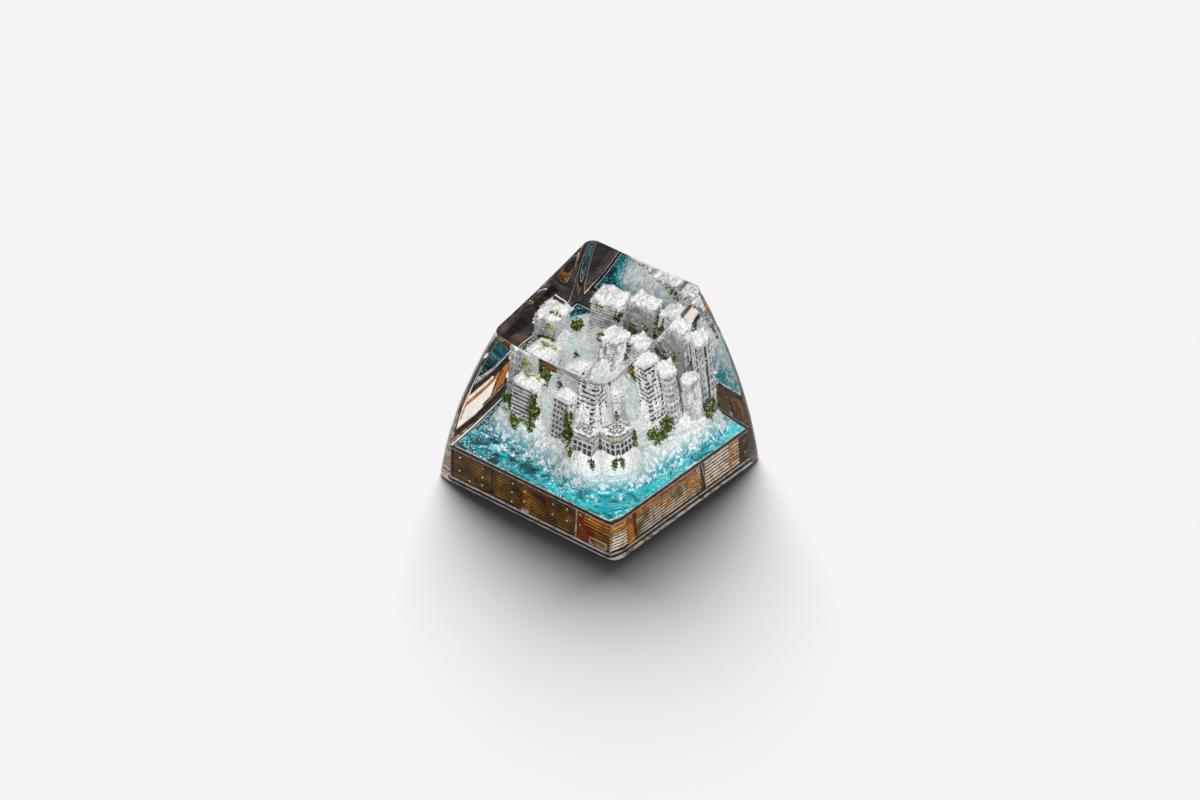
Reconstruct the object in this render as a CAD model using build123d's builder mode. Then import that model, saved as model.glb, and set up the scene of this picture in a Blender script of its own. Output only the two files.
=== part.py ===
from build123d import *
from collections import namedtuple
from math import atan, degrees, hypot, pi, radians, sin, sqrt, tan
import os

# Artisan keycap, one unit wide. A snowy miniature city stands on an island in a rusty tray,
# and all of it is cast into a clear resin cap with a sloped, dished top.
# Millimetres. X runs along the front wall, Y to the back, Z up. The origin is the centre of the foot.

# Clear cap: the foot, the sloped top and the walls between them
cap_width = 18.4
cap_depth = 18.4
top_width = 11.3
top_depth = 11.8
top_shift = -0.25
front_height = 13.4
back_height = 16.3
wall_bulge = 0.48
wall_bands = 5
foot_corner = 1.0
top_corner = 0.9
dish_radius = 70.0
rim_break = 0.2
foot_break = 0.12

# Rusted tray under the scene, and the clear margins that the cap leaves round it at its foot
margin_left = 1.25
margin_right = 0.95
margin_front = 0.65
margin_back = 1.25
base_height = 3.1
tray_rim = 0.25
tray_depth = 0.4
deck_thickness = 0.4
foot_step_height = 0.2
foot_step_inset = 0.45

# Plating on the sides of the tray: rails, straps and a hatch
rail_proud = 0.1
top_rail = 0.3
foot_rail = 0.2
strap_width = 0.32
hatch_width = 1.2
hatch_height = 0.6

# Places of the straps along each side, as shares of its length from its left end seen from outside
front_straps = (0.04, 0.27, 0.44, 0.62, 0.79)
right_straps = (0.14, 0.40, 0.64, 0.93)

# Underside: the recess inside the tray's wall, and the post that presses onto the key switch
foot_wall = 0.7
recess_corner = 0.8
stem_diameter = 5.5
stem_foot = 0.3
stem_cap = 0.35
stem_lead = 0.15
cross_span = 4.1
cross_slot_x = 1.3
cross_slot_y = 1.17
cross_depth = 3.6

# Sea in the tray, as a gentle swell
sea_level = 3.14
swell_height = 0.09
swell_length = 6.5
swell_points = 13

# Snow island over the post, with a mound under the block at the front corner
snow_cover = 0.35
shore_share = 0.9
mound_sides = 8
mound_radius = 3.3
mound_slope = 36
mound_rise = 1.0

# Buildings: the snow between the stem and their footings, and the relief of their walls
footing_cover = 0.1
plinth = 0.15
relief = 0.09
band_share = 0.5
rib_share = 0.45

# Snow on the roofs: a steep skirt with a flatter crown, or one peak
skirt_share = 0.6
skirt_slope = 10
crown_slope = 50
peak_slope = 40

# Moss tufts: their root under the snow and how far they taper
tuft_sides = 6
tuft_root = 0.2
tuft_top_share = 0.5

# Sizes worked out from the driving ones
base_width = cap_width - margin_left - margin_right
base_depth = cap_depth - margin_front - margin_back
base_x = (margin_left - margin_right) / 2
base_y = (margin_front - margin_back) / 2
base_foot = Plane.XY.shift_origin((base_x, base_y, 0))
deck_top = base_height - tray_depth
deck_underside = deck_top - deck_thickness
core_width = base_width - 2 * rail_proud
core_depth = base_depth - 2 * rail_proud
recess_inset = max(margin_left, margin_right, margin_front, margin_back) + foot_step_inset + foot_wall
recess_width = cap_width - 2 * recess_inset
recess_depth = cap_depth - 2 * recess_inset
tray_width = base_width - 2 * tray_rim
tray_length = base_depth - 2 * tray_rim
plate_foot = foot_step_height + foot_rail
plate_top = base_height - top_rail
stem_top = stem_foot + cross_depth + stem_cap
snow_level = stem_top + snow_cover
footing_level = stem_top + footing_cover
up = Vector(0, 0, 1)


# Rusted tray
Side = namedtuple("Side", "outward reach length straps")
sides = (
    Side(Vector(0, -1, 0), core_depth / 2, core_width, front_straps),
    Side(Vector(1, 0, 0), core_width / 2, core_depth, right_straps),
    Side(Vector(0, 1, 0), core_depth / 2, core_width, front_straps),
    Side(Vector(-1, 0, 0), core_width / 2, core_depth, right_straps),
)


def side_plane(side, height):
    """Plane on a side of the tray's core: X to the right seen from outside, Y up, Z outward."""
    origin = Vector(base_x, base_y, height) + side.outward * side.reach
    return Plane(origin=origin, x_dir=up.cross(side.outward), z_dir=side.outward)


with BuildPart() as rusted_base:
    with BuildSketch(base_foot):
        Rectangle(base_width - 2 * foot_step_inset, base_depth - 2 * foot_step_inset)
    extrude(amount=foot_step_height)
    with BuildSketch(base_foot.offset(foot_step_height)):
        Rectangle(core_width, core_depth)
    extrude(amount=base_height - foot_step_height)
    for low, high in ((foot_step_height, plate_foot), (plate_top, base_height)):
        with BuildSketch(base_foot.offset(low)):
            Rectangle(base_width, base_depth)
        extrude(amount=high - low)
    for side in sides:
        with BuildSketch(side_plane(side, (plate_foot + plate_top) / 2)):
            with Locations(*[((share - 0.5) * side.length, 0) for share in side.straps]):
                Rectangle(strap_width, plate_top - plate_foot)
        extrude(amount=rail_proud)
    with BuildSketch(side_plane(sides[0], plate_foot + hatch_height / 2)):
        with Locations((core_width / 2 - hatch_width, 0)):
            Rectangle(hatch_width, hatch_height)
    extrude(amount=rail_proud)
    with BuildSketch(base_foot.offset(deck_top)):
        Rectangle(tray_width, tray_length)
    extrude(amount=tray_depth, mode=Mode.SUBTRACT)
    with BuildSketch(Plane.XY):
        RectangleRounded(recess_width, recess_depth, recess_corner)
    extrude(amount=deck_underside, mode=Mode.SUBTRACT)
    with Locations((0, 0, deck_top)):
        Hole(stem_diameter / 2)


# Post with the cross socket, seated in the deck
with BuildPart() as stem_post:
    with BuildSketch(Plane.XY.offset(stem_foot)):
        Circle(stem_diameter / 2)
    extrude(amount=stem_top - stem_foot)
    chamfer(stem_post.faces().sort_by(Axis.Z)[0].edges(), stem_lead)
    with BuildSketch(Plane.XY.offset(stem_foot)):
        Rectangle(cross_span, cross_slot_y)
        Rectangle(cross_slot_x, cross_span)
    extrude(amount=cross_depth, mode=Mode.SUBTRACT)


def on_tray(across, along):
    """Place in the tray, from shares of its half width and half length."""
    return base_x + across * tray_width / 2, base_y + along * tray_length / 2


# Buildings. Their places are shares of the tray, the roof is a height above the foot,
# the turn is in degrees, and the snow is its thickness
Building = namedtuple("Building", "name across along width depth roof turn bands ribs snow")
buildings = (
    Building("slab_block", -0.478, -0.2, 2.2, 2.0, 7.9, 0, 7, 0, 0.6),
    Building("west_block", -0.771, 0.263, 2.1, 2.2, 8.7, 8, 0, 3, 0.8),
    Building("grid_tower", 0.006, -0.238, 1.6, 1.6, 8.4, -4, 0, 3, 0.8),
    Building("corner_block", 0.376, -0.425, 1.6, 1.5, 7.3, 6, 3, 0, 0.35),
    Building("central_tower", 0.083, 0.225, 1.8, 1.8, 9.9, 0, 7, 0, 0.6),
    Building("round_tower", 0.338, 0.337, 1.5, 1.5, 9.2, 45, 4, 0, 0.8),
    Building("east_tower", 0.503, 0.537, 1.5, 1.5, 8.2, -6, 0, 3, 0.6),
    Building("high_tower", 0.414, 0.775, 1.9, 1.6, 10.6, 0, 0, 3, 0.9),
    Building("long_block", -0.317, 0.641, 2.6, 2.0, 10.5, 6, 6, 0, 0.8),
    Building("rear_block", 0.052, 0.747, 2.4, 1.3, 10.8, 0, 0, 4, 0.8),
    Building("grey_block", 0.127, 0.551, 2.0, 1.4, 9.8, -8, 0, 4, 0.7),
)
round_corners = 8
peaked = "grid_tower"
mounded = "corner_block"


def site(building, height):
    """Plane of a building's plan at a height, turned with the building."""
    x, y = on_tray(building.across, building.along)
    return Plane(origin=(x, y, height)).rotated((0, 0, building.turn))


def plan(building, inset):
    """Outline of a building, inset from its outermost face; the round tower has eight corners."""
    if building.name == "round_tower":
        RegularPolygon(building.width / 2 - inset, round_corners, major_radius=False)
    else:
        Rectangle(building.width - 2 * inset, building.depth - 2 * inset)


def ground(building):
    """Height of the plain plinth that a building has under its walls, up out of the snow."""
    return snow_level + plinth + (mound_rise if building.name == mounded else 0)


def tower(building):
    """A building on its plinth: a core with floor bands or upright ribs."""
    with BuildPart() as made:
        with BuildSketch(site(building, footing_level)):
            plan(building, relief)
        extrude(amount=building.roof - footing_level)
        with BuildSketch(site(building, footing_level)):
            plan(building, 0)
        extrude(amount=ground(building) - footing_level)
        if building.bands:
            storey = (building.roof - ground(building)) / building.bands
            floors = [building.roof - storey * (number + band_share) for number in range(building.bands)]
            with BuildSketch(*[site(building, floor) for floor in floors]):
                plan(building, 0)
            extrude(amount=storey * band_share)
        if building.ribs:
            rib_x = building.width / building.ribs * rib_share
            rib_y = building.depth / building.ribs * rib_share
            gap_x = (building.width - 2 * relief - rib_x) / (building.ribs - 1)
            gap_y = (building.depth - 2 * relief - rib_y) / (building.ribs - 1)
            with BuildSketch(site(building, ground(building))):
                with GridLocations(gap_x, gap_y, building.ribs, 1):
                    Rectangle(rib_x, building.depth)
                with GridLocations(gap_x, gap_y, 1, building.ribs):
                    Rectangle(building.width, rib_y)
            extrude(amount=building.roof - ground(building))
    made.part.label = building.name
    return made


towers = [tower(building) for building in buildings]


# Snow on the roofs, one cap on each building
with BuildPart() as roof_snow:
    for building in buildings:
        skirt = building.snow * skirt_share
        if building.name == peaked:
            with BuildSketch(site(building, building.roof)):
                plan(building, 0)
            extrude(amount=building.snow, taper=peak_slope)
        else:
            with BuildSketch(site(building, building.roof)):
                plan(building, 0)
            extrude(amount=skirt, taper=skirt_slope)
            with BuildSketch(site(building, building.roof + skirt)):
                plan(building, skirt * tan(radians(skirt_slope)))
            extrude(amount=building.snow - skirt, taper=crown_slope)


# Moss: tufts that grow out of the snow beside the buildings
Tuft = namedtuple("Tuft", "across along radius height")
tufts = (
    Tuft(-0.312, -0.331, 0.3, 1.9),
    Tuft(-0.707, -0.15, 0.5, 0.9),
    Tuft(-0.541, -0.375, 0.35, 0.35),
    Tuft(0.134, -0.338, 0.3, 1.2),
    Tuft(0.541, 0.112, 0.6, 1.0),
    Tuft(0.427, -0.025, 0.45, 0.7),
    Tuft(0.656, 0.7, 0.45, 0.8),
    Tuft(-0.605, 0.487, 0.5, 0.7),
    Tuft(-0.076, 0.562, 0.4, 0.9),
)
with BuildPart() as moss:
    for tuft in tufts:
        tall = tuft.height + tuft_root
        lean = degrees(atan(tuft.radius * (1 - tuft_top_share) / tall))
        with BuildSketch(Plane(origin=(*on_tray(tuft.across, tuft.along), snow_level - tuft_root))):
            RegularPolygon(tuft.radius, tuft_sides)
        extrude(amount=tall, taper=lean)
    add([made.part for made in towers], mode=Mode.SUBTRACT)


# Snow island: the shore is a closed curve through shares of the tray, drawn in towards the top
shore = (
    (-0.873, -0.375), (-0.465, -0.488), (-0.083, -0.575), (0.299, -0.65), (0.605, -0.55), (0.732, -0.212), (0.783, 0.225),
    (0.834, 0.662), (0.707, 0.912), (0.236, 0.963), (-0.338, 0.963), (-0.783, 0.9), (-0.949, 0.475), (-0.962, 0.037),
)
mound = next(building for building in buildings if building.name == mounded)
with BuildPart() as snow_island:
    for level, share in ((deck_top, 1), (snow_level, shore_share)):
        with BuildSketch(Plane.XY.offset(level)):
            with BuildLine():
                Spline(*[on_tray(across * share, along * share) for across, along in shore], periodic=True)
            make_face()
    loft(ruled=True)
    with BuildSketch(site(mound, deck_top)):
        RegularPolygon(mound_radius, mound_sides)
    extrude(amount=snow_level + mound_rise - deck_top, taper=mound_slope)
    with BuildSketch(Plane.XY):
        Circle(stem_diameter / 2)
    extrude(amount=stem_top, mode=Mode.SUBTRACT)
    add([made.part for made in (moss, *towers)], mode=Mode.SUBTRACT)


# Sea: fills the tray round the island up to a swell
def swell(x, y):
    """Height of the water over a place in the tray."""
    wave = sin(2 * pi * (x + 0.4 * y) / swell_length) + sin(2 * pi * (y - 0.3 * x) / swell_length)
    return sea_level + swell_height * wave / 2


steps = [step / (swell_points - 1) - 0.5 for step in range(swell_points)]
water = Face.make_surface_from_array_of_points(
    [[(x * cap_width, y * cap_depth, swell(x * cap_width, y * cap_depth)) for y in steps] for x in steps]
)
with BuildPart() as sea:
    with BuildSketch(base_foot.offset(deck_top)):
        Rectangle(tray_width, tray_length)
    extrude(amount=tray_depth + 2 * swell_height)
    split(bisect_by=water, keep=Keep.BOTTOM)
    with BuildSketch(Plane.XY):
        Circle(stem_diameter / 2)
    extrude(amount=stem_top, mode=Mode.SUBTRACT)
    add(snow_island.part, mode=Mode.SUBTRACT)


# Clear cap, cast round everything else
def wall(share, foot, top):
    """Distance of a wall from the cap's middle at a share of its height, with the wall's bulge."""
    return foot * (1 - share) + top * share + 4 * wall_bulge * share * (1 - share)


def cap_section(share):
    """Plane, width and depth of the cap's section at a share of its height, from level foot to sloped top."""
    front = -wall(share, cap_depth / 2, top_depth / 2 - top_shift)
    back = wall(share, cap_depth / 2, top_depth / 2 + top_shift)
    rise = share * (back_height - front_height)
    middle = (0, (front + back) / 2, share * (front_height + back_height) / 2)
    plane = Plane(origin=middle, x_dir=(1, 0, 0), z_dir=(0, -rise, back - front))
    return plane, 2 * wall(share, cap_width / 2, top_width / 2), hypot(back - front, rise)


# Sections by share of the height, each with its inset: the foot's edge is broken, then the wall bends in bands
foot_share = 2 * foot_break / (front_height + back_height)
wall_sections = [(0, foot_break), (foot_share, 0)]
wall_sections += [(band / wall_bands, 0) for band in range(1, wall_bands + 1)]
top_plane, top_across, top_along = cap_section(1)
dish_lift = sqrt(dish_radius**2 - (top_across / 2) ** 2 - (top_along / 2) ** 2)

with BuildPart() as clear_resin:
    for share, inset in wall_sections:
        section, across, along = cap_section(share)
        corner = foot_corner * (1 - share) + top_corner * share
        with BuildSketch(section):
            RectangleRounded(across - 2 * inset, along - 2 * inset, corner - inset)
    loft(ruled=True)
    with Locations(top_plane.offset(dish_lift)):
        Sphere(dish_radius, mode=Mode.SUBTRACT)
    chamfer(clear_resin.faces().filter_by(GeomType.SPHERE).edges(), rim_break)
    with BuildSketch(Plane.XY):
        RectangleRounded(recess_width, recess_depth, recess_corner)
    extrude(amount=deck_underside, mode=Mode.SUBTRACT)
    with BuildSketch(Plane.XY):
        Circle(stem_diameter / 2)
    extrude(amount=stem_top, mode=Mode.SUBTRACT)
    inside = (rusted_base, sea, snow_island, moss, roof_snow, *towers)
    add([made.part for made in inside], mode=Mode.SUBTRACT)


rusted_base.part.label = "rusted_base"
stem_post.part.label = "stem_post"
roof_snow.part.label = "roof_snow"
moss.part.label = "moss"
snow_island.part.label = "snow_island"
sea.part.label = "sea"
clear_resin.part.label = "clear_resin"

os.makedirs("parts", exist_ok=True)
for made in (clear_resin, rusted_base, stem_post, sea, snow_island, roof_snow, moss, *towers):
    export_step(made.part, f"parts/{made.part.label}.step")
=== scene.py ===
"""Clear resin keycap with a snowy miniature city inside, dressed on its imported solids.

Helpers work in millimetres; a piece is scaled to metres when its mesh is made.
"""
import math
import random

import bpy
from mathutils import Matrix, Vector, noise


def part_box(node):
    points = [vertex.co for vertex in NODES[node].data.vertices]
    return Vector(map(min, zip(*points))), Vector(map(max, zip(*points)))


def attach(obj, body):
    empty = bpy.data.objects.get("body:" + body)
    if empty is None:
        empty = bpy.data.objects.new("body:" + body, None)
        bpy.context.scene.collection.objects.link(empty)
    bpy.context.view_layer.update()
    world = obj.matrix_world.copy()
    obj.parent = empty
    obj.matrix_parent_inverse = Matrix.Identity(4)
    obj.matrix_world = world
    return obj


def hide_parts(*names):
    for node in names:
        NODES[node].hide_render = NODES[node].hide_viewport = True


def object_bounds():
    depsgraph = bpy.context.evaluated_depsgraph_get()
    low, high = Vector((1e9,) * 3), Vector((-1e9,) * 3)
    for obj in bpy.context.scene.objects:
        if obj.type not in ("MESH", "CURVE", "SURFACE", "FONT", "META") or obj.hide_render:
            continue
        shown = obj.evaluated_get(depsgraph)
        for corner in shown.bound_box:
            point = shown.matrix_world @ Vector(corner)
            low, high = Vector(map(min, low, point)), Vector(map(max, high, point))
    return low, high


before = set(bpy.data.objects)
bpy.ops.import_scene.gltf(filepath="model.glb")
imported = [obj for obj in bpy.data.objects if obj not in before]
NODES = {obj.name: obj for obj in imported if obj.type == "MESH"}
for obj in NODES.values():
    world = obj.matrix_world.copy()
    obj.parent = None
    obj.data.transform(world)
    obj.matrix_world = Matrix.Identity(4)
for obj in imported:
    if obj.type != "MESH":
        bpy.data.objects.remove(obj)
cad_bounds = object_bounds()

MM = 0.001

# Clear cap, by the same sizes as its solid
CAP_SIDE = 18.4
TOP_WIDTH = 11.3
TOP_DEPTH = 11.8
TOP_SHIFT = -0.25
FRONT_HEIGHT = 13.4
BACK_HEIGHT = 16.3
WALL_BULGE = 0.48
FOOT_CORNER = 1.0
TOP_CORNER = 0.9
DISH_RADIUS = 70.0
RIM_ROUND = 0.09
FOOT_BREAK = 0.12

# Levels of the scene inside
DECK_LEVEL = 2.7
SEA_LEVEL = 3.12
SNOW_LEVEL = 4.6
STEM_RADIUS = 2.75
STEM_TOP = 4.25

# Shore of the island, in shares of the tray's half width and half length
SHORE = (
    (-0.873, -0.375), (-0.465, -0.488), (-0.083, -0.575), (0.299, -0.65), (0.605, -0.55), (0.732, -0.212),
    (0.783, 0.225), (0.834, 0.663), (0.707, 0.912), (0.236, 0.962), (-0.338, 0.962), (-0.783, 0.9),
    (-0.949, 0.475), (-0.962, 0.038),
)

# Light: shade of one resin wall, strength of the sky, how much of its seen strength reflections get,
# its strength where it is seen, and the key lamp, by its share of a white floor's light
RESIN_SHADE = 0.22
SKY = 0.05
GLOSS_SHARE = 0.2
PALE = 0.905
KEY_DIRECTION = (-0.52, 0.57, 0.65)
KEY_SHARE = 0.93
KEY_ANGLE = 45

# Camera of the photograph
CAMERA_AZIMUTH = 39.62
CAMERA_ELEVATION = 34.7
CAMERA_DISTANCE = 320.0
CAMERA_TARGET = (0.01, 0.0, 6.28)
SENSOR_WIDTH = 36.0
PHOTO_WIDTH = 1200
FOCAL_PIXELS = 4106


def box_mm(node):
    """Lowest and highest corner of a CAD node, in millimetres."""
    low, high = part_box(node)
    return low / MM, high / MM


BASE_LOW, BASE_HIGH = box_mm("rusted_base")
TRAY_LOW, TRAY_HIGH = box_mm("sea")
TRAY_MIDDLE = (TRAY_LOW + TRAY_HIGH) / 2
TRAY_HALF = (TRAY_HIGH - TRAY_LOW) / 2

BOX_FACES = ((3, 2, 1, 0), (4, 5, 6, 7), (0, 1, 5, 4), (1, 2, 6, 5), (2, 3, 7, 6), (3, 0, 4, 7))


class Form:
    """Vertices and faces in millimetres, each face with the number of its material.

    Its place turns u, v and z of a side or of a building into x, y and z.
    """

    def __init__(self):
        self.verts = []
        self.faces = []
        self.marks = []
        self.place = None

    def stand(self, name):
        """Works in a building's own axes from here on; its width, depth, foot and roof."""
        middle, width, depth, turn, foot, roof = PLANS[name]
        self.place = turned(middle, turn)
        return width, depth, foot, roof

    def face(self, verts, mark=0):
        """One face over vertices that are there already."""
        self.faces.append(tuple(verts))
        self.marks.append(mark)

    def add(self, verts, faces, mark):
        """New vertices with their faces."""
        start = len(self.verts)
        self.verts.extend(verts)
        for face in faces:
            self.face((start + index for index in face), mark)

    def box(self, u, v, z, mark, inset=0.0):
        """A box between pairs of u, v and z, put in place, its top drawn in by an inset."""
        corners = []
        for level, drawn in ((z[0], 0.0), (z[1], inset)):
            left, right, front, back = u[0] + drawn, u[1] - drawn, v[0] + drawn, v[1] - drawn
            for across, along in ((left, front), (right, front), (right, back), (left, back)):
                corners.append(self.place(across, along, level))
        self.add(corners, BOX_FACES, mark)

    def sweep(self, rings, marks=0, closed=True):
        """Joins rings of equally many points; a closed sweep joins the last ring to the first."""
        if isinstance(marks, int):
            marks = [marks] * len(rings)
        count = len(rings[0])
        start = len(self.verts)
        for ring in rings:
            self.verts.extend(ring)
        for step in range(len(rings) if closed else len(rings) - 1):
            low = start + step * count
            high = start + (step + 1) % len(rings) * count
            for index in range(count):
                after = (index + 1) % count
                self.face((low + index, low + after, high + after, high + index), marks[step])

    def fan(self, count, apex, mark=0):
        """Closes the last ring, which has so many points, towards an apex."""
        tip = len(self.verts)
        self.verts.append(apex)
        last = tip - count
        for index in range(count):
            self.face((last + index, last + (index + 1) % count, tip), mark)

    def repaint(self, mark, chosen):
        """Gives a mark to each face whose corners are all chosen by their x and y."""
        for index, face in enumerate(self.faces):
            if all(chosen(*self.verts[vert][:2]) for vert in face):
                self.marks[index] = mark

    def piece(self, name, looks, slot, nodes=(), smooth=False):
        """Makes the mesh object, sets it on the keycap and lets it stand for CAD nodes."""
        mesh = bpy.data.meshes.new(name)
        mesh.from_pydata([tuple(value * MM for value in vert) for vert in self.verts], [], self.faces)
        for look in looks:
            mesh.materials.append(LOOKS[look])
        mesh.polygons.foreach_set("material_index", self.marks)
        mesh.polygons.foreach_set("use_smooth", [smooth] * len(self.faces))
        mesh.update()
        made = bpy.data.objects.new(name, mesh)
        bpy.context.scene.collection.objects.link(made)
        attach(made, "root")
        if nodes:
            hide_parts(*nodes)
        return made


# Places and rings

RING_STEPS = 8


def cos_sin(turn):
    """Cosine and sine of a turn in degrees."""
    return math.cos(math.radians(turn)), math.sin(math.radians(turn))


def between(here, there, share):
    """Place in plan at a share of the way from here to there."""
    return here[0] + (there[0] - here[0]) * share, here[1] + (there[1] - here[1]) * share


def on_circle(x, y, radius):
    """Place on a circle about the origin, towards a place in plan."""
    reach = math.hypot(x, y)
    return x / reach * radius, y / reach * radius


def at_level(points, level):
    """Ring of the same places in plan, all at one level."""
    return [(point[0], point[1], level) for point in points]


def rectangle_ring(low, high, level):
    """Points round a rectangle at a level, counter-clockwise from its front left corner."""
    corners = (low, (high[0], low[1]), high, (low[0], high[1]))
    ring = []
    for index, here in enumerate(corners):
        there = corners[(index + 1) % 4]
        ring += [between(here, there, step / RING_STEPS) for step in range(RING_STEPS)]
    return at_level(ring, level)


def circle_ring(radius, level):
    """Points round a circle about the origin, as many as a rectangle ring has."""
    turns = [cos_sin(225 + 90 * index / RING_STEPS) for index in range(4 * RING_STEPS)]
    return [(radius * cos, radius * sin, level) for cos, sin in turns]


def rough(x, y, z, pitch, octaves):
    """Fractal noise about zero, with a pitch in millimetres."""
    return noise.fractal(Vector((x, y, z)) / pitch, 1.0, 2.0, octaves)


LUMP_RINGS, LUMP_SPOKES = 3, 6


def sphere_faces(rings, spokes):
    """Faces of a sphere of vertex rings with a pole at each end."""
    faces = []
    last = 1 + (rings - 1) * spokes
    for index in range(spokes):
        after = (index + 1) % spokes
        faces.append((0, 1 + after, 1 + index))
        for low in range(1, last, spokes):
            high = low + spokes
            faces.append((low + index, low + after, high + after, high + index))
        faces.append((last + index, last + after, last + spokes))
    return faces


LUMP_FACES = sphere_faces(LUMP_RINGS, LUMP_SPOKES)


def lump(form, middle, radius, chance, mark=0, flat=1.0):
    """A small uneven crumb."""
    x, y, z = middle
    spin = chance.uniform(0, math.tau)
    verts = [(x, y, z - radius * flat)]
    for ring in range(LUMP_RINGS):
        tip = math.pi * (ring + 1) / (LUMP_RINGS + 1)
        for spoke in range(LUMP_SPOKES):
            turn = spin + math.tau * spoke / LUMP_SPOKES
            reach = radius * chance.uniform(0.75, 1.2)
            out = reach * math.sin(tip)
            verts.append((
                x + out * math.cos(turn), y + out * math.sin(turn), z - reach * math.cos(tip) * flat,
            ))
    verts.append((x, y, z + radius * flat))
    form.add(verts, LUMP_FACES, mark)


# Materials

def fill(tree, node, inputs):
    """Gives each input of a node its value, or a link from a socket."""
    for name, value in inputs.items():
        if isinstance(value, bpy.types.NodeSocket):
            tree.links.new(value, node.inputs[name])
        else:
            node.inputs[name].default_value = value
    return node


def add_node(tree, kind, inputs):
    """A new shader node with its inputs filled."""
    return fill(tree, tree.nodes.new(kind), inputs)


def new_material(name, roughness, specular):
    """A material with its node tree, its surface shader and object coordinates."""
    material = bpy.data.materials.new(name)
    material.use_nodes = True
    tree = material.node_tree
    shader = tree.nodes["Principled BSDF"]
    fill(tree, shader, {"Roughness": roughness, "Specular IOR Level": specular})
    return material, tree, shader, tree.nodes.new("ShaderNodeTexCoord").outputs["Object"]


def noise_value(tree, coordinates, pitch, detail, distortion=0.0):
    """Noise with a pitch in millimetres."""
    return add_node(tree, "ShaderNodeTexNoise", {
        "Vector": coordinates, "Scale": 1 / (pitch * MM), "Detail": detail, "Distortion": distortion,
    }).outputs["Fac"]


def ramp(tree, value, stops):
    """Colours by a value, from stops of place, red, green and blue."""
    node = add_node(tree, "ShaderNodeValToRGB", {"Fac": value})
    elements = node.color_ramp.elements
    while len(elements) < len(stops):
        elements.new(0.5)
    for element, (place, *colour) in zip(elements, stops):
        element.position = place
        element.color = (*colour, 1.0)
    return node.outputs["Color"]


def blend(tree, share, first, second, kind="MIX"):
    """Two colours mixed by a share."""
    node = tree.nodes.new("ShaderNodeMix")
    node.data_type = "RGBA"
    node.blend_type = kind
    return fill(tree, node, {"Factor": share, "A": first, "B": second}).outputs["Result"]


def combine(tree, operation, first, second):
    """One number from two."""
    node = tree.nodes.new("ShaderNodeMath")
    node.operation = operation
    return fill(tree, node, {0: first, 1: second}).outputs[0]


def slope(tree, coordinates, axis, low, high, first, last):
    """A number that runs from first to last between two places on an axis, in millimetres."""
    axes = add_node(tree, "ShaderNodeSeparateXYZ", {0: coordinates})
    return add_node(tree, "ShaderNodeMapRange", {
        "Value": axes.outputs[axis], "From Min": low * MM, "From Max": high * MM,
        "To Min": first, "To Max": last,
    }).outputs["Result"]


def mix_shaders(tree, share, first, second, output):
    """Two shaders mixed by a share, as the surface of a material or a world."""
    mix = add_node(tree, "ShaderNodeMixShader", {0: share, 1: first.outputs[0], 2: second.outputs[0]})
    fill(tree, tree.nodes[output], {"Surface": mix.outputs[0]})


def bump(tree, shader, height, strength, depth):
    """Bump from a height, its depth in millimetres."""
    node = add_node(tree, "ShaderNodeBump", {
        "Strength": strength, "Distance": depth * MM, "Height": height,
    })
    fill(tree, shader, {"Normal": node.outputs["Normal"]})


def mottled(name, stops, pitch, roughness, fine, shade, depth=0.02, specular=0.08, metallic=0.0):
    """A surface coloured by broad noise, darkened by fine noise and bumped by it."""
    material, tree, shader, coordinates = new_material(name, roughness, specular)
    broad = ramp(tree, noise_value(tree, coordinates, pitch, 6.0, 0.6), stops)
    grain = noise_value(tree, coordinates, fine, 3.0)
    dark = 1.0 - shade
    grey = ramp(tree, grain, ((0.3, dark, dark, dark), (0.62, 1.0, 1.0, 1.0)))
    fill(tree, shader, {"Metallic": metallic, "Base Color": blend(tree, 1.0, broad, grey, "MULTIPLY")})
    bump(tree, shader, grain, 0.6, depth)
    return material


def resin_material():
    """Clear resin; shadow rays pass straight through it, dimmed, so that the cap keeps a soft shadow."""
    material, tree, shader, _ = new_material("clear_resin", 0.0, 0.5)
    fill(tree, shader, {
        "Base Color": (1.0, 1.0, 1.0, 1.0), "IOR": 1.5, "Specular Tint": (0.0, 0.0, 0.0, 1.0),
        "Transmission Weight": 1.0,
    })
    clear = add_node(tree, "ShaderNodeBsdfTransparent", {
        "Color": (RESIN_SHADE, RESIN_SHADE, RESIN_SHADE, 1.0),
    })
    path = tree.nodes.new("ShaderNodeLightPath")
    mix_shaders(tree, path.outputs["Is Shadow Ray"], shader, clear, "Material Output")
    return material


def sea_material(name, foam):
    """Turquoise water, deep teal on the left to bright cyan, with white foam in fine specks and drifts."""
    material, tree, shader, coordinates = new_material(name, 0.6, 0.08)
    shift = slope(tree, coordinates, "X", -8.0, 4.0, -0.06, 0.12)
    depth = combine(tree, "ADD", noise_value(tree, coordinates, 1.7, 6.0, 1.4), shift)
    deep = ramp(tree, depth, (
        (0.40, 0.0002, 0.034, 0.046), (0.50, 0.0005, 0.125, 0.155), (0.58, 0.002, 0.33, 0.38),
        (0.68, 0.012, 0.57, 0.62),
    ))
    ripple = noise_value(tree, coordinates, 0.36, 6.0, 2.0)
    speck = ramp(tree, ripple, ((0.57 - foam, 0, 0, 0), (0.61 - foam, 1, 1, 1)))
    patches = noise_value(tree, coordinates, 1.6, 6.0, 0.8)
    patch_share = ramp(tree, patches, ((0.44, 0.03, 0.03, 0.03), (0.56, 1, 1, 1)))
    foam_share = blend(tree, 1.0, speck, patch_share, "MULTIPLY")
    white = ramp(tree, ripple, ((0.45, 0.60, 0.86, 0.88), (0.65, 0.95, 0.97, 0.97)))
    fill(tree, shader, {"Base Color": blend(tree, foam_share, deep, white)})
    bump(tree, shader, ripple, 0.8, 0.10)
    return material


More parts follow.
